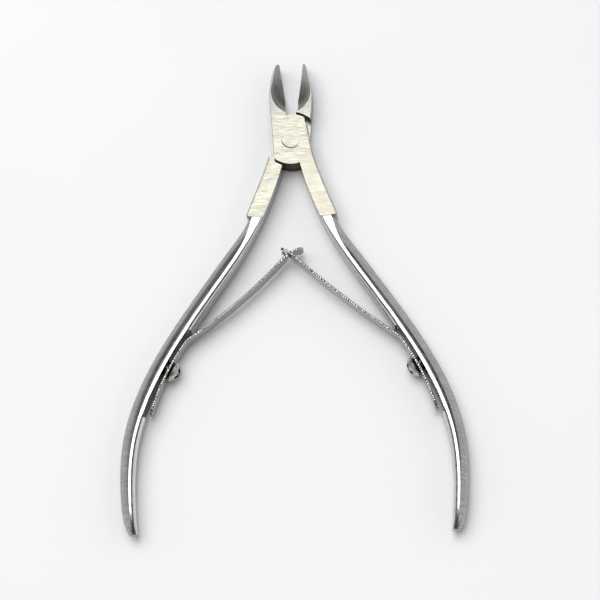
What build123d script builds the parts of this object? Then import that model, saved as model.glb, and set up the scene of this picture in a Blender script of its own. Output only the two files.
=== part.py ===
from build123d import *
import os
from math import cos, radians, sin, sqrt, tan

# Cuticle nipper with a lap joint and a pair of interlocking leaf springs.
# Millimetres.  +Z is square to the plane of the tool, +Y runs from the pivot to
# the jaws, and the origin is on the pivot axis in the flat underside.
# The model stands in the sprung-open rest position.  Each lever and leaf is drawn
# with its handle on +X, and the left-hand one is mirrored.

# ---- driving dimensions -------------------------------------------------
THICKNESS = 5.0            # flat to flat, the same from the jaws to the handles
MID = THICKNESS / 2
LAP_GAP = 0.04             # between the two half-thickness lobes
OPEN_HALF_ANGLE = 8.0      # each lever swings this far between closed and rest
EDGE_GAP = 0.03            # left between the cutting edges when they are closed

LOBE_RADIUS = 5.55         # round ends of the lap, about the pivot
SHOULDER_RADIUS = 6.1      # hollow shoulder that the other lever's lobe turns in
RIVET_RADIUS = 1.6
RIVET_HEAD_RADIUS = 1.95
RIVET_HEAD_DEPTH = 0.5
RIVET_CLEARANCE = 0.03     # radial, where the upper lever turns on the rivet

JAW_TIP = 17.9             # distance from the pivot to the point of the jaws
POINT_WIDTH = 0.15
BLADE_HEEL = 9.6           # the cutting edge ends here, and a relief follows
RELIEF = [(7.6, 0.3), (6.3, 0.15)]   # distance from the pivot, and gap to the middle
LAP_TOP = 1.15             # half width of the lobe's arc between the two jaws
LAP_HEEL = -3.55           # where the lobe's lower arc meets the back of the jaw
HOLLOW_RADIUS = 5.64       # round-nosed hollow ground into the back of each jaw
HOLLOW_CENTRE = (1.3, 11.0, 6.23)
HOLLOW_TURN = 14.0         # the hollow follows the taper of the jaw to its point
HOLLOW_DIP = 15.0          # and runs deeper towards it
HOLLOW_LENGTH = 12.0       # from its round nose, past the point of the jaw
BEVEL_HEIGHT = 1.1         # front bevel, from the front face up to the cutting edge
BEVEL_ANGLE = 38.0
BEVEL_FROM = 6.0           # distance from the pivot where the bevel begins
BEVEL_SPARE = 0.5          # how far its cutter stands out of the metal

POCKET_DEPTH = 0.75        # pocket behind each leaf spring, below the inner face
POCKET_FROM = 0.488        # the ends of the pocket, as fractions of the inner line
POCKET_TO = 0.722
POCKET_SPARE = 1.0         # how far its cutter stands out of the two flat faces
POCKET_BAND = 5.0          # width of the cutter, more than enough to clear the grip
POCKET_ROUND = 0.4         # rounded corners of its floor
BOSS_RADIUS = 1.5          # boss in the pocket that the leaf is screwed down on
BOSS_HEIGHT = 1.2          # from the back of the leaf, well into the floor of the pocket
SCREW_AT = 0.6             # place of the screw, as a fraction of the leaf's lower part
SCREW_RADIUS = 1.0
SCREW_DEPTH = 2.3
SCREW_CLEARANCE = 0.02
SCREW_END_GAP = 0.1        # left below the end of the screw
SCREW_HEAD_RADIUS = 2.3
SCREW_HEAD_HEIGHT = 1.9
SCREW_HEAD_GAP = 0.04      # between the flat head and the slightly curved leaf
SCREW_FOOT = 1.7           # radius of the head where it meets the leaf
SCREW_RIM = 0.65           # the head widens over this height, under its dome
CROSS_LENGTH = 2.9         # cross recess
CROSS_WIDTH = 0.75
CROSS_DEPTH = 1.1
CROSS_TURN = 35.0

LEAF_THICKNESS = 0.5
LEAF_WIDTH = 3.4
LEAF_TAIL = (29.35, -58.95)   # the lower part of the leaf is an arc from its tail,
LEAF_SEAT = (25.92, -50.0)    # through this point along the handle,
LEAF_KINK = (21.9, -43.3)     # to the bend where it leaves the handle
LEAF_MIDDLE = (11.05, -35.05)   # the upper part is an arc through here to the hook
HOOK = (-0.6, -24.7)       # where the two leaves cross, a little left of the middle
TONGUE_END = (2.3, -23.9)
TONGUE_NECK = 1.7          # width of the tongue where it passes through the fork
TONGUE_HEAD = 3.3
FORK_END = (-2.3, -24.0)
FORK_SLOT = 2.1
FORK_DEPTH = 0.95          # from the crossing down to the root of the slot
KINK_ROUND = 2.0           # bend where the leaf leaves the handle
HOOK_ROUND = 0.5           # bend at the hooked end
NECK_LENGTH = 2.4
HEAD_LENGTH = 2.2
HEAD_ROUND = 0.9
LEAF_HOLE = 1.1            # radius of the hole for the screw
TAIL_ROUND = 1.6           # rounded corners of the tail

CORNER_ROUND = 0.6         # outer corner where the flat part of the handle ends
EDGE_BREAK = 0.3           # chamfer along the outside of the flat part
FINE_BREAK = 0.12          # broken edge along the back of the jaw

# ---- outline of one lever: jaw on -X, handle on +X -----------------------
# inner face of the handle, from under the lobe to the end of the grip
INNER_LINE = [(1.5, -4.2), (4.6, -13.8), (10.3, -25.4), (17.5, -36.1), (24.3, -46.8),
              (29.2, -56.6), (31.8, -66.2), (32.2, -75.6), (31.7, -83.6)]
# outer edge of the lap and of the flat part of the handle
OUTER_EDGE = [(3.15, 4.57), (3.85, 0.6), (4.6, -3.2), (6.1, -7.9), (8.4, -13.8), (9.75, -17.2)]
# back of the jaw, from the lap to the point
JAW_BACK = [(-3.75, -3.2), (-3.92, 0.8), (-4.22, 4.8), (-4.52, 9.3), (-4.15, 13.6), (-3.3, 16.4)]
ROOT_AT = 0.015            # where the inner face leaves the lap, as a fraction of the inner line
SHOULDER_AT = 0.163        # and where the flat part of the handle ends

# grip sections: fraction of the inner line, half thickness, radius of the rounded
# inner edge, width of the flat land, and bulge of the outer side
GRIP_SECTIONS = [
    (0.153, 2.5, 0.35, 1.75, 0.7), (0.19, 2.5, 0.42, 1.36, 1.07), (0.225, 2.5, 0.55, 0.8, 1.75),
    (0.27, 2.5, 0.7, 0.56, 2.22), (0.35, 2.5, 0.82, 0.5, 2.38), (0.50, 2.5, 0.85, 0.48, 2.42),
    (0.64, 2.5, 0.85, 0.48, 2.4), (0.78, 2.49, 0.85, 0.48, 2.19), (0.90, 2.465, 0.82, 0.46, 1.89),
    (0.95, 2.38, 0.78, 0.42, 1.7), (0.982, 2.05, 0.66, 0.38, 1.36), (1.0, 1.4, 0.48, 0.3, 0.92),
]

inner_line = Spline(*INNER_LINE)


def on_lobe(x, side):
    """Point of the lobe's circle at x, above (+1) or below (-1) the pivot."""
    return (x, side * sqrt(LOBE_RADIUS**2 - x**2))


def edge_point(distance, relief=0.0):
    """Point of the left jaw's cutting edge at a distance from the pivot."""
    a = radians(OPEN_HALF_ANGLE)
    away = EDGE_GAP / 2 + relief
    return (-distance * sin(a) - away * cos(a), distance * cos(a) - away * sin(a))


def plate():
    """Jaw, lap and flat part of the handle, at full thickness."""
    root = inner_line.trim(ROOT_AT, SHOULDER_AT)
    corner = on_lobe(OUTER_EDGE[0][0], 1)
    top_left = on_lobe(-LAP_TOP, 1)
    top_middle = on_lobe(LAP_TOP, 1)
    heel = on_lobe(LAP_HEEL, -1)
    inside = on_lobe((root @ 0).X, -1)
    lines = [
        Spline(*JAW_BACK, edge_point(JAW_TIP, POINT_WIDTH)),
        Line(edge_point(JAW_TIP, POINT_WIDTH), edge_point(JAW_TIP - POINT_WIDTH)),
        Line(edge_point(JAW_TIP - POINT_WIDTH), edge_point(BLADE_HEEL)),
        Spline(edge_point(BLADE_HEEL), *[edge_point(*row) for row in RELIEF]),
        Line(edge_point(*RELIEF[-1]), top_left),
        ThreePointArc(top_left, top_middle, corner),
        Spline(corner, *OUTER_EDGE[1:]),
        Line(OUTER_EDGE[-1], root @ 1),
        root,
        Line(root @ 0, inside),
        ThreePointArc(inside, (0, -LOBE_RADIUS), heel),
        Line(heel, JAW_BACK[0]),
    ]
    edges = [edge for line in lines for edge in line.edges()]
    solid = extrude(make_face(Wire.combine(edges)[0]), THICKNESS)
    end = Vector(*OUTER_EDGE[-1], MID)
    solid = fillet(solid.edges().filter_by(Axis.Z).sort_by_distance(end)[0], CORNER_ROUND)
    for middle, size in ((OUTER_EDGE[3], EDGE_BREAK), (JAW_BACK[3], FINE_BREAK)):
        for z in (0, THICKNESS):
            edge = solid.edges().sort_by_distance(Vector(*middle, z))[0]
            solid = chamfer(edge, size)
    return solid


def grip_section(at, half, r, land, bulge):
    """Section of the grip: inner face with edges of radius r, two lands and a bulging outer side."""
    t = inner_line % at
    frame = Plane(origin=inner_line @ at + Vector(0, 0, MID), x_dir=(-t.Y, t.X, 0), z_dir=t)
    rim = r * (1 - cos(radians(45)))
    edge = r + land
    lines = [
        Line((0, r - half), (0, half - r)),
        ThreePointArc((0, half - r), (rim, half - rim), (r, half)),
        Line((r, half), (edge, half)),
        ThreePointArc((edge, half), (edge + bulge, 0), (edge, -half)),
        Line((edge, -half), (r, -half)),
        ThreePointArc((r, -half), (rim, rim - half), (0, r - half)),
    ]
    return frame * make_face([line.edge() for line in lines])


def inward(tangent):
    """Unit vector from a handle into the open middle, square to a tangent that runs down it."""
    return Vector(tangent.Y, -tangent.X, 0)


def seat_frame():
    """Frame at the screw, on the back of the leaf: x up the handle, z into the open."""
    lower = ThreePointArc(LEAF_TAIL, LEAF_SEAT, LEAF_KINK)
    up = lower % SCREW_AT
    away = inward(-up)
    at = lower @ SCREW_AT - away * (LEAF_THICKNESS / 2) + Vector(0, 0, MID)
    return Plane(origin=at, x_dir=up, z_dir=away)


def pocket_cut():
    """Pocket behind the leaf, along the inner face and open to the middle."""
    points = []
    for at in (POCKET_FROM, (POCKET_FROM + POCKET_TO) / 2, POCKET_TO):
        away = inward(inner_line % at)
        points.append(inner_line @ at + away * (POCKET_BAND / 2 - POCKET_DEPTH))
    band = trace(ThreePointArc(*points), POCKET_BAND)
    block = Pos(0, 0, -POCKET_SPARE) * extrude(band, THICKNESS + 2 * POCKET_SPARE)
    for at in (POCKET_FROM, POCKET_TO):
        floor = inner_line @ at - inward(inner_line % at) * POCKET_DEPTH + Vector(0, 0, MID)
        corner = block.edges().filter_by(Axis.Z).sort_by_distance(floor)[0]
        block = fillet(corner, POCKET_ROUND)
    return block


def screw_hole():
    """Blind hole for the screw, through the boss."""
    hole = Cylinder(SCREW_RADIUS + SCREW_CLEARANCE, SCREW_DEPTH)
    return seat_frame() * Pos(0, 0, -SCREW_DEPTH / 2) * hole


def hollow_cut():
    """Round-nosed hollow that makes the blade of the left jaw."""
    a = radians(HOLLOW_TURN)
    b = radians(HOLLOW_DIP)
    along = Vector(sin(a) * cos(b), cos(a) * cos(b), -sin(b))
    centre = Vector(*HOLLOW_CENTRE)
    middle = centre + along * (HOLLOW_LENGTH / 2)
    run = Plane(origin=middle, z_dir=along) * Cylinder(HOLLOW_RADIUS, HOLLOW_LENGTH)
    return run + Pos(*HOLLOW_CENTRE) * Sphere(HOLLOW_RADIUS)


def front_bevel():
    """Wedge taken off the front face under the left jaw's cutting edge."""
    width = BEVEL_HEIGHT / tan(radians(BEVEL_ANGLE))
    spare = BEVEL_SPARE
    profile = make_face(Polyline((spare, -spare), (spare, BEVEL_HEIGHT), (0, BEVEL_HEIGHT),
                                 (-width, 0), (-width, -spare), close=True))
    start = edge_point(BEVEL_FROM)
    end = edge_point(JAW_TIP + BEVEL_SPARE)
    along = Vector(end[0] - start[0], end[1] - start[1], 0)
    frame = Plane(origin=(*start, 0), x_dir=(along.Y, -along.X, 0), z_dir=-along)
    return extrude(frame * profile, -along.length)


def lap_cut(upper):
    """Half of the thickness that a lever gives up to the other one's lobe."""
    height = MID + LAP_GAP / 2
    middle = height / 2 if upper else THICKNESS - height / 2
    return Pos(0, 0, middle) * Cylinder(SHOULDER_RADIUS, height)


def rivet_shape(clearance=0.0):
    """Pin with a flush countersunk head at each face."""
    pin = Pos(0, 0, MID) * Cylinder(RIVET_RADIUS + clearance, THICKNESS)
    depth = RIVET_HEAD_DEPTH
    small = RIVET_RADIUS + clearance
    large = RIVET_HEAD_RADIUS + clearance
    top = Pos(0, 0, THICKNESS - depth / 2) * Cone(small, large, depth)
    bottom = Pos(0, 0, depth / 2) * Cone(large, small, depth)
    return pin + top + bottom


def lever(upper):
    """One forging, with its jaw on -X and its handle on +X."""
    body = plate() + loft([grip_section(*row) for row in GRIP_SECTIONS])
    body -= lap_cut(upper)
    body -= rivet_shape(RIVET_CLEARANCE if upper else 0.0)
    body -= hollow_cut()
    body -= front_bevel()
    body -= pocket_cut()
    body += seat_frame() * Pos(0, 0, -BOSS_HEIGHT / 2) * Cylinder(BOSS_RADIUS, BOSS_HEIGHT)
    body -= screw_hole()
    return body


def leaf_strip(hook, end):
    """Leaf of constant section, from its tail on the handle to its hooked end."""
    path = Wire([ThreePointArc(LEAF_TAIL, LEAF_SEAT, LEAF_KINK).edge(),
                 ThreePointArc(LEAF_KINK, LEAF_MIDDLE, hook).edge(), Line(hook, end).edge()])
    for corner, radius in ((LEAF_KINK, KINK_ROUND), (hook, HOOK_ROUND)):
        path = path.fillet_2d(radius, [path.vertices().sort_by_distance(Vector(*corner))[0]])
    strip = trace(path, LEAF_THICKNESS)
    solid = Pos(0, 0, MID - LEAF_WIDTH / 2) * extrude(strip, LEAF_WIDTH)
    corners = solid.edges().filter_by(lambda e: abs(e.length - LEAF_THICKNESS) < 0.001)
    solid = fillet(corners.sort_by_distance(Vector(*LEAF_TAIL, MID))[:2], TAIL_ROUND)
    return solid - seat_frame() * Cylinder(LEAF_HOLE, LEAF_WIDTH)


def right_leaf():
    """Leaf that ends in a fork, which the other one's tongue passes through."""
    way = Vector(*FORK_END) - Vector(*HOOK)
    slot = trace(Line(HOOK, Vector(*HOOK) + way * 2), FORK_DEPTH * 2)
    slot = Pos(0, 0, MID - FORK_SLOT / 2) * extrude(slot, FORK_SLOT)
    root = Pos(*HOOK, MID) * Cylinder(FORK_DEPTH, FORK_SLOT)
    return leaf_strip(HOOK, FORK_END) - slot - root


def left_leaf():
    """Leaf that ends in a tongue with a wider head, beyond the fork."""
    hook = (-HOOK[0], HOOK[1])
    end = (-TONGUE_END[0], TONGUE_END[1])
    leaf = leaf_strip(hook, end)
    steps = [(hook, NECK_LENGTH / 2, TONGUE_NECK), (end, HEAD_LENGTH, TONGUE_HEAD)]
    for (x, y), reach, width in steps:
        for side in (-1, 1):
            leaf -= Pos(x, y, MID + side * LEAF_WIDTH / 2) * Cylinder(reach, LEAF_WIDTH - width)
    corners = leaf.edges().filter_by(lambda e: abs(e.length - LEAF_THICKNESS) < 0.001)
    return fillet(corners.sort_by_distance(Vector(*end, MID))[:2], HEAD_ROUND)


def spring_screw():
    """Cross-recess pan-head screw, in the frame of the seat."""
    rim = Pos(0, 0, SCREW_RIM / 2) * Cone(SCREW_FOOT, SCREW_HEAD_RADIUS, SCREW_RIM)
    rise = SCREW_HEAD_HEIGHT - SCREW_RIM
    ball = (SCREW_HEAD_RADIUS**2 + rise**2) / (2 * rise)
    dome = Pos(0, 0, SCREW_HEAD_HEIGHT - ball) * Sphere(ball)
    dome &= Pos(0, 0, SCREW_RIM + rise / 2) * Cylinder(SCREW_HEAD_RADIUS, rise)
    head = rim + dome
    for width, length in ((CROSS_WIDTH, CROSS_LENGTH), (CROSS_LENGTH, CROSS_WIDTH)):
        head -= Pos(0, 0, SCREW_HEAD_HEIGHT) * Box(length, width, CROSS_DEPTH * 2)
    under = LEAF_THICKNESS + SCREW_HEAD_GAP
    shank = under + SCREW_DEPTH - SCREW_END_GAP
    screw = head + Pos(0, 0, -shank / 2) * Cylinder(SCREW_RADIUS, shank)
    return seat_frame() * Pos(0, 0, under) * Rot(0, 0, CROSS_TURN) * screw


def on_left(shape):
    """The same shape on the other side of the tool."""
    return mirror(shape, about=Plane.YZ)


parts = {
    "lower_lever": on_left(lever(False)),
    "upper_lever": lever(True),
    "pivot_rivet": rivet_shape(),
    "left_spring": on_left(left_leaf()),
    "right_spring": right_leaf(),
    "left_spring_screw": on_left(spring_screw()),
    "right_spring_screw": spring_screw(),
}
os.makedirs("parts", exist_ok=True)
for name, shape in parts.items():
    shape.label = name
    export_step(shape, f"parts/{name}.step")
    print(name, round(shape.volume, 2), "mm3")
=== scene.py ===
import math
import random

import bmesh
import bpy
from mathutils import Matrix, Vector


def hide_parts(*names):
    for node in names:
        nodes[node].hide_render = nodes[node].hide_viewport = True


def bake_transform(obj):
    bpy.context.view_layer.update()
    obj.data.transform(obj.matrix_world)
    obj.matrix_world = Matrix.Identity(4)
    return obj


MM = 0.001

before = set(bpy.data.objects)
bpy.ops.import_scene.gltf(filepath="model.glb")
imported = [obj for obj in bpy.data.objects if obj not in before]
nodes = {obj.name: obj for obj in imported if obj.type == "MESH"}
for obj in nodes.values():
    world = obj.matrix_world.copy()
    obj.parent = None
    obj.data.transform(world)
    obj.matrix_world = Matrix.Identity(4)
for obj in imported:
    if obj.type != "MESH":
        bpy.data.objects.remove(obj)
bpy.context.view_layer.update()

# ---- sizes taken over from the CAD source, in millimetres -----------------
THICKNESS = 5.0
MID = THICKNESS / 2
RIVET_HEAD_RADIUS = 1.95
SHOULDER = (7.97, -17.38)        # middle of the line where the flat part of a handle ends
SHOULDER_TURN = 3.0              # degrees that this line is turned from the X axis
LEAF_THICKNESS = 0.5
LEAF_WIDTH = 3.4
LEAF_TAIL = (29.35, -58.95)
LEAF_SEAT = (25.92, -50.0)
LEAF_KINK = (21.9, -43.3)
LEAF_MIDDLE = (11.05, -35.05)
HOOK = (-0.6, -24.7)             # where the leaves cross
TONGUE_END = (2.3, -23.9)
FORK_END = (-2.3, -24.0)
FORK_SLOT = 2.1
FORK_DEPTH = 0.95
TONGUE_NECK = 1.7
TONGUE_HEAD = 3.3
NECK_LENGTH = 2.4
HEAD_ROUND = 0.9
TAIL_ROUND = 1.6
SCREW_TOP = (23.59, -50.25)      # middle of the right screw head, at the top of its dome
SCREW_OUT = (-0.887, -0.461)     # direction in which it points
SCREW_HEAD_HEIGHT = 1.9
SCREW_BALL = 2.74                # radius of its dome
RECESS_REACH = 1.5
POCKET_ENDS = (-59.6, -41.5)

# ---- zones of the levers, each as two places in millimetres between which it fades ----
HOLLOW_FROM = (5.6, 5.8)         # along Y
JAW_FROM = (5.0, 8.0)            # along Y
# ends of the grips, where a dark reflection is painted
DARK_TIP_ZONE = (-83.2, -81.6)        # along Y
LAP_WALL_FROM = (5.3, 5.45)      # distance from the pivot
LAP_WALL_TO = (6.2, 6.3)
BELOW_LAND = (2.4, 2.48)         # distance from the middle of the thickness
RIVET_LOWER_HALF = (-1.7, -0.3)  # along RIVET_ARC_UP
RIVET_ARC_UP = (0.3, 0.95)       # the arc's middle lies opposite this direction
GRIP_MIDDLE = (25, -58)          # the scratches turn about this place
GRIP_TURNS_AT = (-80, -52)       # along Y
GRIP_TURN = (-3.0, 31.0)         # degrees at those two places

# ---- grain of the surfaces, in repeats per metre along X, Y and Z ----------
BRUSH_FINE = (700, 8000, 900)
BRUSH_BROAD = (420, 3000, 300)
MOTTLE = 420.0
CROSS_SCRATCHES = (520, 6200, 520)
COARSE_SCRATCHES = (300, 2300, 240)
LENGTH_SCRATCHES = (3000, 130, 3000)
GRIP_PATCHES = 160.0
HOLLOW_GRIND = (2200, 420, 1400)
HOLLOW_GRIND_TURN = (0, 0, 24)
EDGE_WAVES = 640.0
EDGE_WAVE_TURN = (0, 0, 138)
EDGE_PATCHES = 1200.0
ROLLING = (200, 2200, 2600)
ROLLING_TURN = (0, 0, -43)
SPECKS = 1900.0
SCREW_BLOTCHES = 700.0
SCREW_TURNING = (900, 5200, 5200)
SCREW_TURNING_TURN = (0, 0, 60)

# ---- colours, most of them as two tones that the grain mixes ---------------
FLAT_TONES = ((0.84, 0.82, 0.70), (0.92, 0.90, 0.79))
FLAT_LINES = (0.68, 0.66, 0.56)
RIVET_TONES = ((0.83, 0.81, 0.71), (0.93, 0.91, 0.82))
RIVET_LINES = (0.70, 0.68, 0.60)
GRIP_TONES = ((0.34, 0.335, 0.33), (0.50, 0.49, 0.48))
GRIP_PATCH = (0.33, 0.32, 0.31)
# painted highlight: the level land on top of the grips is lighter than their bulge
LAND_HIGHLIGHT_TONES = ((0.82, 0.81, 0.78), (0.90, 0.89, 0.86))
# painted light: the inner faces of the grips are lighter than their bulge
INNER_LIT_TONES = ((0.66, 0.655, 0.65), (0.80, 0.79, 0.78))
HOLLOW_TONES = ((0.28, 0.275, 0.27), (0.40, 0.395, 0.385))
# painted light: the right lever's jaw hollow is lighter than the left one
RIGHT_HOLLOW_LIT = (0.60, 0.56, 0.51)
JAW_COLOUR = (0.66, 0.66, 0.65)
# painted dark reflection at the ends of the grips
TIP_REFLECTION_COLOUR = (0.12, 0.115, 0.11)
LEVER_LINE = (0.10, 0.09, 0.08)
RIVET_LINE = (0.07, 0.065, 0.055)
# painted shade on the round walls of the lap
LAP_SHADE = (0.04, 0.036, 0.03)
# painted shade in the pocket behind each leaf
POCKET_SHADE = (0.035, 0.033, 0.03)
LEAF_TONES = ((0.40, 0.395, 0.39), (0.52, 0.515, 0.505))
EDGE_TONES = ((0.07, 0.068, 0.065), (0.80, 0.79, 0.77))
LEAF_SPECK = (0.33, 0.31, 0.28)
SCREW_TONES = ((0.28, 0.27, 0.255), (0.54, 0.525, 0.505))
# painted shade in the screws' cross recess and round the foot of each head
SCREW_SHADE = (0.04, 0.037, 0.032)
FLOOR_TONES = ((0.86, 0.865, 0.875), (0.90, 0.90, 0.905))
LEVER_REFLECTION = 0.72          # weakens what the levers reflect at a glancing angle

# ---- roughness, as two values that the grain mixes -------------------------
FLAT_ROUGH = (0.30, 0.44)
GRIP_ROUGH = (0.13, 0.24)
HOLLOW_ROUGH = (0.26, 0.38)
LEAF_ROUGH = (0.20, 0.34)
EDGE_ROUGH = (0.34, 0.26)
SCREW_ROUGH = (0.14, 0.30)
FLOOR_ROUGH = (0.75, 0.85)


# ---- node helpers ---------------------------------------------------------
class Graph:
    """Short calls for building a node material."""

    def __init__(self, owner):
        owner.use_nodes = True
        self.material = owner
        self.tree = owner.node_tree
        self.shader = self.tree.nodes.get("Principled BSDF") or self.tree.nodes["Background"]
        coordinates = self.add("ShaderNodeTexCoord").outputs
        self.place = coordinates["Object"]
        self.direction = coordinates["Generated"]

    def add(self, kind, settings=None, **inputs):
        node = self.tree.nodes.new(kind)
        for key, value in (settings or {}).items():
            setattr(node, key, value)
        for key, value in inputs.items():
            key = int(key[1:]) if key[0] == "i" and key[1:].isdigit() else key.replace("_", " ")
            self.put(node.inputs[key], value)
        return node

    def put(self, socket, value):
        if isinstance(value, bpy.types.NodeSocket):
            self.tree.links.new(value, socket)
        else:
            socket.default_value = value

    def math(self, operation, a, b=0.0, c=0.0):
        return self.add("ShaderNodeMath", {"operation": operation}, i0=a, i1=b, i2=c).outputs[0]

    def ramp(self, value, low, high, out_low=0.0, out_high=1.0):
        """Smooth step from out_low at low to out_high at high."""
        node = self.add("ShaderNodeMapRange", {"interpolation_type": "SMOOTHSTEP"}, Value=value)
        node.inputs["From Min"].default_value = low
        node.inputs["From Max"].default_value = high
        node.inputs["To Min"].default_value = out_low
        node.inputs["To Max"].default_value = out_high
        return node.outputs[0]

    def zone(self, value, places, out_low=0.0, out_high=1.0):
        """Smooth step between two places given in millimetres."""
        return self.ramp(value, places[0] * MM, places[1] * MM, out_low, out_high)

    def mix(self, factor, a, b):
        """Value mix."""
        return self.add("ShaderNodeMix", {"data_type": "FLOAT"}, i0=factor, i2=a, i3=b).outputs[0]

    def tint(self, factor, a, b, blend="MIX"):
        """Colour mix."""
        node = self.add("ShaderNodeMix", {"data_type": "RGBA", "blend_type": blend}, i0=factor)
        for index, value in ((6, a), (7, b)):
            if isinstance(value, (tuple, list)):
                value = (*value, 1.0)
            self.put(node.inputs[index], value)
        return node.outputs[2]

    def noise(self, vector, scale, detail=3.0, rough=0.55, distortion=0.0):
        node = self.add("ShaderNodeTexNoise", Vector=vector, Scale=scale, Detail=detail,
                        Roughness=rough, Distortion=distortion)
        return node.outputs["Fac"]

    def stretched(self, vector, scale, turn=(0.0, 0.0, 0.0)):
        """Coordinates turned and stretched, for brushing and scratches."""
        turned = self.add("ShaderNodeMapping", {"vector_type": "TEXTURE"}, Vector=vector)
        turned.inputs["Rotation"].default_value = [math.radians(a) for a in turn]
        node = self.add("ShaderNodeMapping", Vector=turned.outputs[0])
        node.inputs["Scale"].default_value = scale
        return node.outputs[0]

    def bumps(self, *layers):
        """Chain of bump nodes: (height, distance in metres, strength)."""
        normal = None
        for height, distance, strength in layers:
            node = self.add("ShaderNodeBump", Height=height, Distance=distance, Strength=strength)
            if normal is not None:
                self.put(node.inputs["Normal"], normal)
            normal = node.outputs[0]
        self.put(self.shader.inputs["Normal"], normal)


def brushing(g):
    """Fine and broad brushing along X, and mottling, on every flat ground in the lap."""
    fine = g.noise(g.stretched(g.place, BRUSH_FINE), 1.0, 4.0, 0.6)
    broad = g.noise(g.stretched(g.place, BRUSH_BROAD), 1.0, 3.0, 0.6)
    mottle = g.noise(g.place, MOTTLE, 3.0, 0.6)
    return fine, broad, mottle


def from_pivot(g, x, y):
    """Distance from the pivot axis, and a mask of the side where the rivet's dark line lies."""
    squares = g.math("ADD", g.math("MULTIPLY", x, x), g.math("MULTIPLY", y, y))
    along = g.math("ADD", g.math("MULTIPLY", x, RIVET_ARC_UP[0]),
                   g.math("MULTIPLY", y, RIVET_ARC_UP[1]))
    return g.math("SQRT", squares), g.zone(along, RIVET_LOWER_HALF, 1.0, 0.0)


def facing_screw(g, x, normal):
    """How far a surface faces the way the screw head of its handle points."""
    inwards = g.math("MULTIPLY", normal.outputs[0], g.math("SIGN", x))
    return g.math("ADD", g.math("MULTIPLY", inwards, SCREW_OUT[0]),
                  g.math("MULTIPLY", normal.outputs[1], SCREW_OUT[1]))


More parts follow.
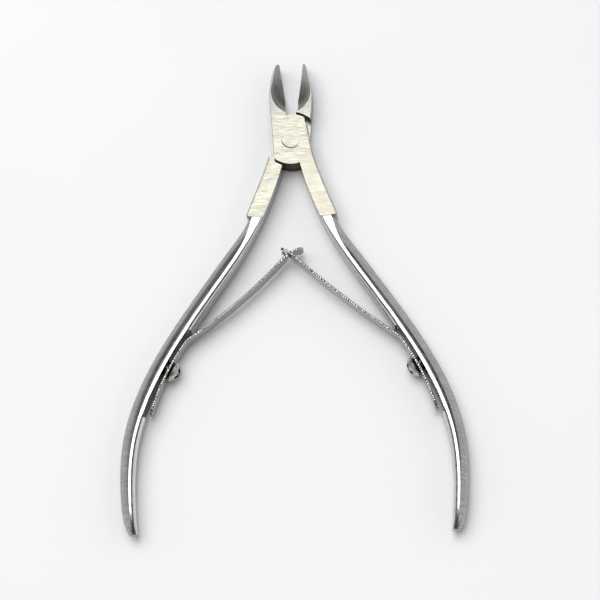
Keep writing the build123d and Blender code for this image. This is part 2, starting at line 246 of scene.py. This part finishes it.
def lever_steel():
    """Satin flats, polished grips with fine cross scratches, and dark ground jaw hollows."""
    g = Graph(bpy.data.materials.new("forged_steel"))
    split = g.add("ShaderNodeSeparateXYZ", Vector=g.place)
    x, y, z = split.outputs
    side = g.math("ABSOLUTE", x)
    normal = g.add("ShaderNodeSeparateXYZ",
                   Vector=g.add("ShaderNodeNewGeometry").outputs["True Normal"])
    up = g.math("ABSOLUTE", normal.outputs[2])

    # where the surface is: flat part or grip, jaw hollow, edge
    turn = math.radians(SHOULDER_TURN)
    along = g.math("ADD", g.math("MULTIPLY", side, -math.sin(turn)),
                   g.math("MULTIPLY", y, math.cos(turn)))
    line = (-SHOULDER[0] * math.sin(turn) + SHOULDER[1] * math.cos(turn)) * MM
    on_flat = g.ramp(along, line - 0.1 * MM, line + 0.1 * MM)
    level = g.ramp(up, 0.985, 0.995)
    steep = g.ramp(normal.outputs[2], 0.04, 0.1)
    off_level = g.math("SUBTRACT", 1.0, level)
    hollow = g.math("MULTIPLY", g.math("MULTIPLY", steep, off_level), g.zone(y, HOLLOW_FROM))
    satin = g.math("MULTIPLY", on_flat, level)

    fine, broad, mottle = brushing(g)

    # scratches across the grip, which turns from about 30 degrees to straight
    handle_turn = g.zone(y, GRIP_TURNS_AT, *map(math.radians, GRIP_TURN))
    local = g.add("ShaderNodeCombineXYZ", X=g.math("SUBTRACT", side, GRIP_MIDDLE[0] * MM),
                  Y=g.math("SUBTRACT", y, GRIP_MIDDLE[1] * MM), Z=z)
    rotated = g.add("ShaderNodeVectorRotate", {"rotation_type": "Z_AXIS"}, Vector=local.outputs[0],
                    Angle=handle_turn).outputs[0]
    cross = g.noise(g.stretched(rotated, CROSS_SCRATCHES), 1.0, 4.0, 0.65)
    coarse = g.noise(g.stretched(rotated, COARSE_SCRATCHES), 1.0, 2.0, 0.5)
    lengthways = g.noise(g.stretched(rotated, LENGTH_SCRATCHES), 1.0, 3.0, 0.5)
    patches = g.noise(g.place, GRIP_PATCHES, 2.0, 0.5)
    hollow_grind = g.noise(g.stretched(g.place, HOLLOW_GRIND, HOLLOW_GRIND_TURN), 1.0, 3.0, 0.6)

    # colour
    scratched = g.ramp(cross, 0.40, 0.62)
    flat_colour = g.tint(g.ramp(broad, 0.35, 0.68), *FLAT_TONES)
    flat_colour = g.tint(g.ramp(fine, 0.42, 0.68, 0.0, 0.45), flat_colour, FLAT_LINES)
    flat_colour = g.tint(g.zone(y, JAW_FROM), flat_colour, JAW_COLOUR)
    grip_colour = g.tint(scratched, *GRIP_TONES)
    grip_colour = g.tint(g.ramp(patches, 0.42, 0.70, 0.0, 0.25), grip_colour, GRIP_PATCH)
    land_highlight_colour = g.tint(scratched, *LAND_HIGHLIGHT_TONES)
    inner_lit_colour = g.tint(scratched, *INNER_LIT_TONES)
    hollow_colour = g.tint(g.ramp(hollow_grind, 0.35, 0.65), *HOLLOW_TONES)
    # painted light on the hollow of the right lever
    hollow_colour = g.tint(g.zone(x, (-1, 1), 0.0, 0.6), hollow_colour, RIGHT_HOLLOW_LIT)
    facing = facing_screw(g, x, normal)
    # painted highlight: the level land is lighter than the bulge of the grip
    colour = g.tint(level, grip_colour, land_highlight_colour)
    # painted light: faces turned inwards, the way the screw points, are lighter
    colour = g.tint(g.ramp(facing, 0.25, 0.6), colour, inner_lit_colour)
    colour = g.tint(satin, colour, flat_colour)
    colour = g.tint(hollow, colour, hollow_colour)

    # the upward faces at the ends of the grips carry a painted dark reflection
    tip_reflection = g.math("MULTIPLY", g.zone(y, DARK_TIP_ZONE, 0.75, 0.0), g.ramp(up, 0.6, 0.9))
    colour = g.tint(tip_reflection, colour, TIP_REFLECTION_COLOUR)

    # dark line round the lower part of the rivet
    reach, lower_side = from_pivot(g, x, y)
    off_line = g.math("ABSOLUTE", g.math("SUBTRACT", reach, (RIVET_HEAD_RADIUS + 0.03) * MM))
    arc = g.math("MULTIPLY", g.zone(off_line, (0.06, 0.22), 1.0, 0.0), lower_side)
    colour = g.tint(g.math("MULTIPLY", arc, g.math("MULTIPLY", level, 0.9)), colour, LEVER_LINE)

    # painted shade on the round walls of the lap
    radial = g.math("ADD", g.math("MULTIPLY", normal.outputs[0], x),
                    g.math("MULTIPLY", normal.outputs[1], y))
    radial = g.math("ABSOLUTE", g.math("DIVIDE", radial, reach))
    lap_shade = g.math("MULTIPLY", g.zone(reach, LAP_WALL_FROM), g.zone(reach, LAP_WALL_TO, 1.0, 0.0))
    lap_shade = g.math("MULTIPLY", lap_shade, g.ramp(radial, 0.78, 0.88))
    lap_shade = g.math("MULTIPLY", g.math("MULTIPLY", off_level, lap_shade), 0.92)
    colour = g.tint(lap_shade, colour, LAP_SHADE)

    # painted shade in the pocket behind each leaf
    height = g.math("ABSOLUTE", g.math("SUBTRACT", z, MID * MM))
    start, end = POCKET_ENDS
    between = g.math("MULTIPLY", g.zone(y, (start - 0.1, start + 0.1)),
                     g.zone(y, (end - 0.5, end + 0.5), 1.0, 0.0))
    within = g.math("MULTIPLY", g.zone(height, BELOW_LAND, 1.0, 0.0), between)
    pocket_shade = g.math("MULTIPLY", within, g.ramp(facing, -0.35, -0.15))
    colour = g.tint(g.math("MULTIPLY", pocket_shade, 0.9), colour, POCKET_SHADE)
    g.put(g.shader.inputs["Base Color"], colour)

    # roughness
    rough_flat = g.ramp(fine, 0.3, 0.7, *FLAT_ROUGH)
    rough_grip = g.ramp(coarse, 0.3, 0.7, *GRIP_ROUGH)
    rough_hollow = g.ramp(hollow_grind, 0.3, 0.7, *HOLLOW_ROUGH)
    rough = g.mix(hollow, g.mix(satin, rough_grip, rough_flat), rough_hollow)
    g.put(g.shader.inputs["Roughness"], rough)
    g.shader.inputs["Metallic"].default_value = 1.0
    g.shader.inputs["Specular Tint"].default_value = (*[LEVER_REFLECTION] * 3, 1.0)

    # relief: brushing on the flats, scratches on the grips, grinding in the hollows
    grip_relief = g.math("ADD", g.math("MULTIPLY", cross, 0.9), g.math("MULTIPLY", lengthways, 0.35))
    grip_relief = g.math("MULTIPLY", grip_relief, g.zone(x, (-2, 6), 1.0, 0.45))
    g.bumps((g.math("MULTIPLY", fine, satin), 0.006 * MM, 0.5),
            (g.math("MULTIPLY", broad, satin), 0.02 * MM, 0.35),
            (g.math("MULTIPLY", mottle, satin), 0.02 * MM, 0.25),
            (g.math("MULTIPLY", grip_relief, off_level), 0.011 * MM, 0.6),
            (g.math("MULTIPLY", hollow_grind, hollow), 0.01 * MM, 0.5))
    return g.material


def leaf_steel():
    """Rolled strip with sheared edges that show coarse cross grinding."""
    g = Graph(bpy.data.materials.new("spring_steel"))
    normal = g.add("ShaderNodeSeparateXYZ",
                   Vector=g.add("ShaderNodeNewGeometry").outputs["True Normal"])
    edge = g.ramp(g.math("ABSOLUTE", normal.outputs[2]), 0.45, 0.7)
    split = g.add("ShaderNodeSeparateXYZ", Vector=g.place)
    side = g.math("ABSOLUTE", split.outputs[0])
    mirrored = g.add("ShaderNodeCombineXYZ", X=side, Y=split.outputs[1],
                     Z=split.outputs[2]).outputs[0]
    waves = g.add("ShaderNodeTexWave", {"bands_direction": "X"},
                  Vector=g.stretched(mirrored, (1, 1, 1), EDGE_WAVE_TURN), Scale=EDGE_WAVES,
                  Distortion=7.0, Detail=2.0, Detail_Scale=1.5).outputs["Fac"]
    patchy = g.noise(g.place, EDGE_PATCHES, 2.0, 0.5)
    cuts = g.math("ADD", g.math("MULTIPLY", waves, 0.6), g.math("MULTIPLY", patchy, 0.4))
    rolled = g.noise(g.stretched(mirrored, ROLLING, ROLLING_TURN), 1.0, 3.0, 0.5)
    specks = g.noise(g.place, SPECKS, 2.0, 0.6)
    face_colour = g.tint(g.ramp(rolled, 0.35, 0.65), *LEAF_TONES)
    edge_colour = g.tint(g.ramp(cuts, 0.42, 0.62), *EDGE_TONES)
    colour = g.tint(edge, face_colour, edge_colour)
    colour = g.tint(g.ramp(specks, 0.60, 0.72, 0.0, 0.5), colour, LEAF_SPECK)
    rough = g.mix(edge, g.ramp(rolled, 0.3, 0.7, *LEAF_ROUGH), g.ramp(cuts, 0.3, 0.7, *EDGE_ROUGH))
    g.put(g.shader.inputs["Base Color"], colour)
    g.put(g.shader.inputs["Roughness"], rough)
    g.shader.inputs["Metallic"].default_value = 1.0
    g.bumps((rolled, 0.006 * MM, 0.5),
            (g.math("MULTIPLY", cuts, edge), 0.012 * MM, 0.5),
            (specks, 0.01 * MM, 0.3))
    return g.material


def screw_steel():
    """Polished steel with turning marks, and painted shade in its cross recess and round the foot of
    its head.
    """
    g = Graph(bpy.data.materials.new("screw_steel"))
    blotch = g.noise(g.place, SCREW_BLOTCHES, 3.0, 0.6)
    fine = g.noise(g.stretched(g.place, SCREW_TURNING, SCREW_TURNING_TURN), 1.0, 3.0, 0.6)
    colour = g.tint(g.ramp(blotch, 0.38, 0.66), *SCREW_TONES)

    # how far a point lies below the dome of the head, and out from its axis
    split = g.add("ShaderNodeSeparateXYZ", Vector=g.place)
    x = g.math("SUBTRACT", g.math("ABSOLUTE", split.outputs[0]), SCREW_TOP[0] * MM)
    y = g.math("SUBTRACT", split.outputs[1], SCREW_TOP[1] * MM)
    z = g.math("SUBTRACT", split.outputs[2], MID * MM)
    drop = g.math("MULTIPLY", g.math("ADD", g.math("MULTIPLY", x, SCREW_OUT[0]),
                                     g.math("MULTIPLY", y, SCREW_OUT[1])), -1.0)
    across = g.math("SUBTRACT", g.math("MULTIPLY", x, SCREW_OUT[1]),
                    g.math("MULTIPLY", y, SCREW_OUT[0]))
    reach = g.math("ADD", g.math("MULTIPLY", across, across), g.math("MULTIPLY", z, z))
    dome = g.math("DIVIDE", reach, 2 * SCREW_BALL * MM)
    below = g.math("SUBTRACT", drop, dome)
    near_axis = g.ramp(reach, (RECESS_REACH * MM)**2, (RECESS_REACH * 1.05 * MM)**2, 1.0, 0.0)
    recess = g.math("MULTIPLY", g.zone(below, (0.06, 0.22)), near_axis)
    foot = g.zone(drop, (SCREW_HEAD_HEIGHT - 0.45, SCREW_HEAD_HEIGHT - 0.2))
    # painted shade: the cross recess and the foot of the head are darkened
    screw_shade = g.math("MAXIMUM", recess, foot)
    colour = g.tint(g.math("MULTIPLY", screw_shade, 0.9), colour, SCREW_SHADE)
    g.put(g.shader.inputs["Base Color"], colour)
    g.put(g.shader.inputs["Roughness"], g.ramp(fine, 0.3, 0.7, *SCREW_ROUGH))
    g.shader.inputs["Metallic"].default_value = 1.0
    g.bumps((fine, 0.006 * MM, 0.5), (blotch, 0.02 * MM, 0.3))
    return g.material


def rivet_steel():
    """The rivet is ground off with the lap, so its faces carry the same brushing."""
    g = Graph(bpy.data.materials.new("rivet_steel"))
    fine, broad, mottle = brushing(g)
    colour = g.tint(g.ramp(broad, 0.35, 0.68), *RIVET_TONES)
    colour = g.tint(g.ramp(fine, 0.40, 0.66, 0.0, 0.35), colour, RIVET_LINES)
    x, y, _ = g.add("ShaderNodeSeparateXYZ", Vector=g.place).outputs
    reach, lower_side = from_pivot(g, x, y)
    rim = g.zone(reach, (RIVET_HEAD_RADIUS - 0.12, RIVET_HEAD_RADIUS - 0.02))
    colour = g.tint(g.math("MULTIPLY", rim, lower_side), colour, RIVET_LINE)
    g.put(g.shader.inputs["Base Color"], colour)
    g.put(g.shader.inputs["Roughness"], g.ramp(fine, 0.3, 0.7, *FLAT_ROUGH))
    g.shader.inputs["Metallic"].default_value = 1.0
    g.bumps((fine, 0.006 * MM, 0.5), (broad, 0.02 * MM, 0.35), (mottle, 0.02 * MM, 0.25))
    return g.material


def floor_paint():
    """Matt white studio board with a very faint unevenness."""
    g = Graph(bpy.data.materials.new("floor"))
    cloud = g.noise(g.place, 6.0, 4.0, 0.5)
    grain = g.noise(g.place, 900.0, 2.0, 0.5)
    colour = g.tint(g.ramp(cloud, 0.3, 0.7), *FLOOR_TONES)
    g.put(g.shader.inputs["Base Color"], colour)
    g.put(g.shader.inputs["Roughness"], g.ramp(cloud, 0.3, 0.7, *FLOOR_ROUGH))
    g.bumps((grain, 0.02 * MM, 0.15))
    return g.material


# ---- leaf springs ---------------------------------------------------------
LEAF_STEP = 0.16                 # spacing of the rows of the leaf's mesh, in millimetres
LEAF_COLUMNS = 26
LEAF_SOFTNESS = 10               # rounds of smoothing, which bend the corners of the path
LEAF_RAG = 0.012                 # unevenness of the sheared edges, in millimetres
LEAF_BEVEL = 0.06                # in millimetres
LEAF_BEVEL_FROM = 50             # degrees between faces
LOWER_ARC_STEPS = 40
UPPER_ARC_STEPS = 60


def arc_points(a, b, c, count):
    """Points along the circle through a, b and c, from a to c."""
    (ax, ay), (bx, by), (cx, cy) = a, b, c
    d = 2 * (ax * (by - cy) + bx * (cy - ay) + cx * (ay - by))
    aa, bb, cc = ax * ax + ay * ay, bx * bx + by * by, cx * cx + cy * cy
    ox = (aa * (by - cy) + bb * (cy - ay) + cc * (ay - by)) / d
    oy = (aa * (cx - bx) + bb * (ax - cx) + cc * (bx - ax)) / d
    radius = math.hypot(ax - ox, ay - oy)
    start = math.atan2(ay - oy, ax - ox)
    sweep = math.atan2(cy - oy, cx - ox) - start
    sweep = (sweep + math.pi) % (2 * math.pi) - math.pi
    angles = [start + sweep * i / count for i in range(count + 1)]
    return [(ox + radius * math.cos(a), oy + radius * math.sin(a)) for a in angles]


def smooth_path(points, step, softness):
    """Evenly spaced points along a polyline, with its corners softened."""
    def resample(line):
        lengths = [0.0]
        for p, q in zip(line, line[1:]):
            lengths.append(lengths[-1] + math.hypot(q[0] - p[0], q[1] - p[1]))
        count = max(2, round(lengths[-1] / step))
        out, k = [], 0
        for i in range(count + 1):
            s = lengths[-1] * i / count
            while k < len(lengths) - 2 and lengths[k + 1] < s:
                k += 1
            t = (s - lengths[k]) / (lengths[k + 1] - lengths[k])
            (px, py), (qx, qy) = line[k], line[k + 1]
            out.append((px + t * (qx - px), py + t * (qy - py)))
        return out

    line = resample(points)
    for _ in range(softness):
        line = [line[0]] + [((p[0] + 2 * q[0] + r[0]) / 4, (p[1] + 2 * q[1] + r[1]) / 4)
                            for p, q, r in zip(line, line[1:], line[2:])] + [line[-1]]
    return line


def leaf(name, hook, end, tongue, mirror_sign, seed):
    """Leaf spring as a fine strip with sheared edges, and a fork or a tongue at its hooked end."""
    lower = arc_points(LEAF_TAIL, LEAF_SEAT, LEAF_KINK, LOWER_ARC_STEPS)
    upper = arc_points(LEAF_KINK, LEAF_MIDDLE, hook, UPPER_ARC_STEPS)
    path = smooth_path(lower + upper[1:] + [end], LEAF_STEP, LEAF_SOFTNESS)
    spans = [math.hypot(q[0] - p[0], q[1] - p[1]) for p, q in zip(path, path[1:])]
    s = [sum(spans[:i]) for i in range(len(path))]
    at_hook = min(range(len(path)),
                  key=lambda i: math.hypot(path[i][0] - hook[0], path[i][1] - hook[1]))
    s_hook, s_end = s[at_hook], s[-1]
    rng = random.Random(seed)
    rag = [[rng.gauss(0, LEAF_RAG) for _ in path] for _ in (0, 1)]

    def rounded(width, left, radius):
        """Half width near an end with rounded corners."""
        if left < radius:
            width -= radius - math.sqrt(max(0.0, radius**2 - (radius - left)**2))
        return width

    def half_width(at):
        """Half width of the strip at a distance from its tail."""
        width = rounded(LEAF_WIDTH / 2, at, TAIL_ROUND)
        if tongue and abs(at - s_hook) < NECK_LENGTH / 2:
            width = TONGUE_NECK / 2
        elif tongue and at > s_hook:
            width = rounded(TONGUE_HEAD / 2, s_end - at, HEAD_ROUND)
        return width

    mesh = bpy.data.meshes.new(name)
    bm = bmesh.new()
    rows = []
    for i, (px, py) in enumerate(path):
        a, b = path[max(0, i - 1)], path[min(len(path) - 1, i + 1)]
        wide = half_width(s[i])
        row = []
        for c in range(LEAF_COLUMNS + 1):
            w = (2 * c / LEAF_COLUMNS - 1) * wide
            if c == 0:
                w -= rag[0][i]
            if c == LEAF_COLUMNS:
                w += rag[1][i]
            row.append(bm.verts.new((px * mirror_sign * MM, py * MM, (MID + w) * MM)))
        rows.append(row)
    for i in range(len(path) - 1):
        middle = (s[i] + s[i + 1]) / 2
        for c in range(LEAF_COLUMNS):
            w = (2 * (c + 0.5) / LEAF_COLUMNS - 1) * half_width(middle)
            if not tongue and middle > s_hook - FORK_DEPTH and abs(w) < FORK_SLOT / 2:
                continue
            bm.faces.new((rows[i][c], rows[i + 1][c], rows[i + 1][c + 1], rows[i][c + 1]))
    loose = [v for v in bm.verts if not v.link_faces]
    bmesh.ops.delete(bm, geom=loose, context="VERTS")
    bmesh.ops.recalc_face_normals(bm, faces=bm.faces)
    bm.to_mesh(mesh)
    bm.free()
    piece = bpy.data.objects.new(name, mesh)
    bpy.context.scene.collection.objects.link(piece)
    for polygon in mesh.polygons:
        polygon.use_smooth = True
    thick = piece.modifiers.new("thickness", "SOLIDIFY")
    thick.thickness = LEAF_THICKNESS * MM
    thick.offset = 0.0
    thick.use_even_offset = True
    soft = piece.modifiers.new("edges", "BEVEL")
    soft.width = LEAF_BEVEL * MM
    soft.segments = 2
    soft.limit_method = "ANGLE"
    soft.angle_limit = math.radians(LEAF_BEVEL_FROM)
    piece.data.materials.append(LEAF_STEEL)
    return piece


# ---- materials on the CAD pieces ------------------------------------------
def repaint(node, material):
    for slot in nodes[node].material_slots:
        slot.material = material


LEVER_STEEL = lever_steel()
LEAF_STEEL = leaf_steel()
SCREW_STEEL = screw_steel()
for name in ("lower_lever", "upper_lever"):
    repaint(name, LEVER_STEEL)
repaint("pivot_rivet", rivet_steel())
for name in ("left_spring_screw", "right_spring_screw"):
    repaint(name, SCREW_STEEL)

for name, lever, hook, end, tongue, sign, seed in (
        ("left", "lower", (-HOOK[0], HOOK[1]), (-TONGUE_END[0], TONGUE_END[1]), True, -1, 4),
        ("right", "upper", HOOK, FORK_END, False, 1, 9)):
    piece = leaf(f"{name}_leaf_spring", hook, end, tongue, sign, seed)
    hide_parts(f"{name}_spring")
    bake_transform(piece)

# ---- floor, camera and light ----------------------------------------------
KEY_WATTS = 12.0
KEY_FROM = (-0.25, 0.35, 1.0)
KEY_DISTANCE = 1.2
KEY_SIZE = 1.3
PANEL_AT = (-0.05, 0.28, 0.96)   # the flats mirror this direction to the camera
PANEL_INNER = 9.0                # degrees from its middle to where the panel starts to fade
PANEL_OUTER = 13.0
PANEL_LIGHT = 2.6
CEILING_LIGHT = (0.22, 0.12)     # left, right
WALL_TOP = (0.90, 0.82)
WALL_SOFT = (0.50, 0.12)
FAR_WALL_TOP = (0.58, 0.74)      # the wall ends lower at the far side
WALL_LIGHT = (0.80, 0.82)
NEAR_WALL = 0.25
RIGHT_SIDE = (-0.35, 0.45)       # X of the direction, from left side to right side
FAR_SIDE = (0.30, 0.62)          # Y of the direction, where the far wall begins
NEAR_SIDE = (-0.9, -0.2)         # Y of the direction, where the near wall ends
ROOM_COLOUR = (0.98, 0.99, 1.0)
PANEL_COLOUR = (1.0, 0.985, 0.95)

FLOOR_REACH = 3.0
FLOOR_DROP = 0.02                # in millimetres below the tool
mesh = bpy.data.meshes.new("floor")
corners = [(x * FLOOR_REACH, y * FLOOR_REACH, 0) for x, y in ((-1, -1), (1, -1), (1, 1), (-1, 1))]
mesh.from_pydata(corners, [], [(0, 1, 2, 3)])
floor = bpy.data.objects.new("floor", mesh)
floor.location.z = -FLOOR_DROP * MM
floor.data.materials.append(floor_paint())
bpy.context.scene.collection.objects.link(floor)

# the camera leans a little to the near side and looks down on the tool
TARGET = Vector((1.35, -34.05, 0.0)) * MM
TOWARDS_CAMERA = Vector((0.05, -0.28, 0.9587)).normalized()
DISTANCE = 0.45
LENS = 129.19
SENSOR = 36.0
ROLL = math.radians(-0.5)
camera = bpy.data.objects.new("camera", bpy.data.cameras.new("camera"))
forward = -TOWARDS_CAMERA
right = forward.cross(Vector((0, 1, 0))).normalized()
above = right.cross(forward)
turned_right = right * math.cos(ROLL) + above * math.sin(ROLL)
turned_above = above * math.cos(ROLL) - right * math.sin(ROLL)
rotation = Matrix((turned_right, turned_above, TOWARDS_CAMERA)).transposed()
camera.matrix_world = Matrix.Translation(TARGET + TOWARDS_CAMERA * DISTANCE) @ rotation.to_4x4()
camera.data.lens = LENS
camera.data.sensor_width = SENSOR
camera.data.clip_start = 0.01
camera.data.clip_end = 20.0
bpy.context.scene.collection.objects.link(camera)
bpy.context.scene.camera = camera


def key_light():
    """Soft box facing the tool.  It lights the floor but leaves no image in the steel."""
    data = bpy.data.lights.new("ceiling", "AREA")
    data.shape = "DISK"
    data.size = KEY_SIZE
    data.energy = KEY_WATTS
    light = bpy.data.objects.new("ceiling", data)
    light.visible_glossy = False
    towards = Vector(KEY_FROM).normalized()
    light.matrix_world = (Matrix.Translation(TARGET + towards * KEY_DISTANCE)
                          @ towards.to_track_quat("Z", "Y").to_matrix().to_4x4())
    bpy.context.scene.collection.objects.link(light)


def room(world):
    """White studio: one soft overhead panel, a dark ceiling round it, and light walls."""
    g = Graph(world)
    split = g.add("ShaderNodeSeparateXYZ", Vector=g.direction)
    x, y, z = split.outputs
    towards_panel = g.add("ShaderNodeVectorMath", {"operation": "DOT_PRODUCT"}, i0=g.direction,
                          i1=Vector(PANEL_AT).normalized()).outputs["Value"]
    panel = g.ramp(towards_panel, math.cos(math.radians(PANEL_OUTER)),
                   math.cos(math.radians(PANEL_INNER)))
    right_side = g.ramp(x, *RIGHT_SIDE)
    far = g.ramp(y, *FAR_SIDE)
    wall_top = g.mix(far, g.mix(right_side, *WALL_TOP), g.mix(right_side, *FAR_WALL_TOP))
    soft = g.mix(right_side, *WALL_SOFT)
    above_wall = g.add("ShaderNodeMapRange", {"interpolation_type": "SMOOTHSTEP"}, Value=z,
                       From_Min=g.math("SUBTRACT", wall_top, soft), From_Max=wall_top).outputs[0]
    wall = g.math("SUBTRACT", 1.0, above_wall)
    near = g.ramp(y, *NEAR_SIDE)
    wall_light = g.mix(near, NEAR_WALL, g.mix(right_side, *WALL_LIGHT))
    light = g.mix(wall, g.mix(right_side, *CEILING_LIGHT), wall_light)
    light = g.mix(panel, light, PANEL_LIGHT)
    g.put(g.shader.inputs["Color"], g.tint(panel, ROOM_COLOUR, PANEL_COLOUR))
    g.put(g.shader.inputs["Strength"], light)


key_light()
bpy.context.scene.world = bpy.data.worlds.new("room")
room(bpy.context.scene.world)

view = bpy.context.scene.view_settings
view.view_transform = "Standard"
view.look = "None"
view.exposure = 0.0
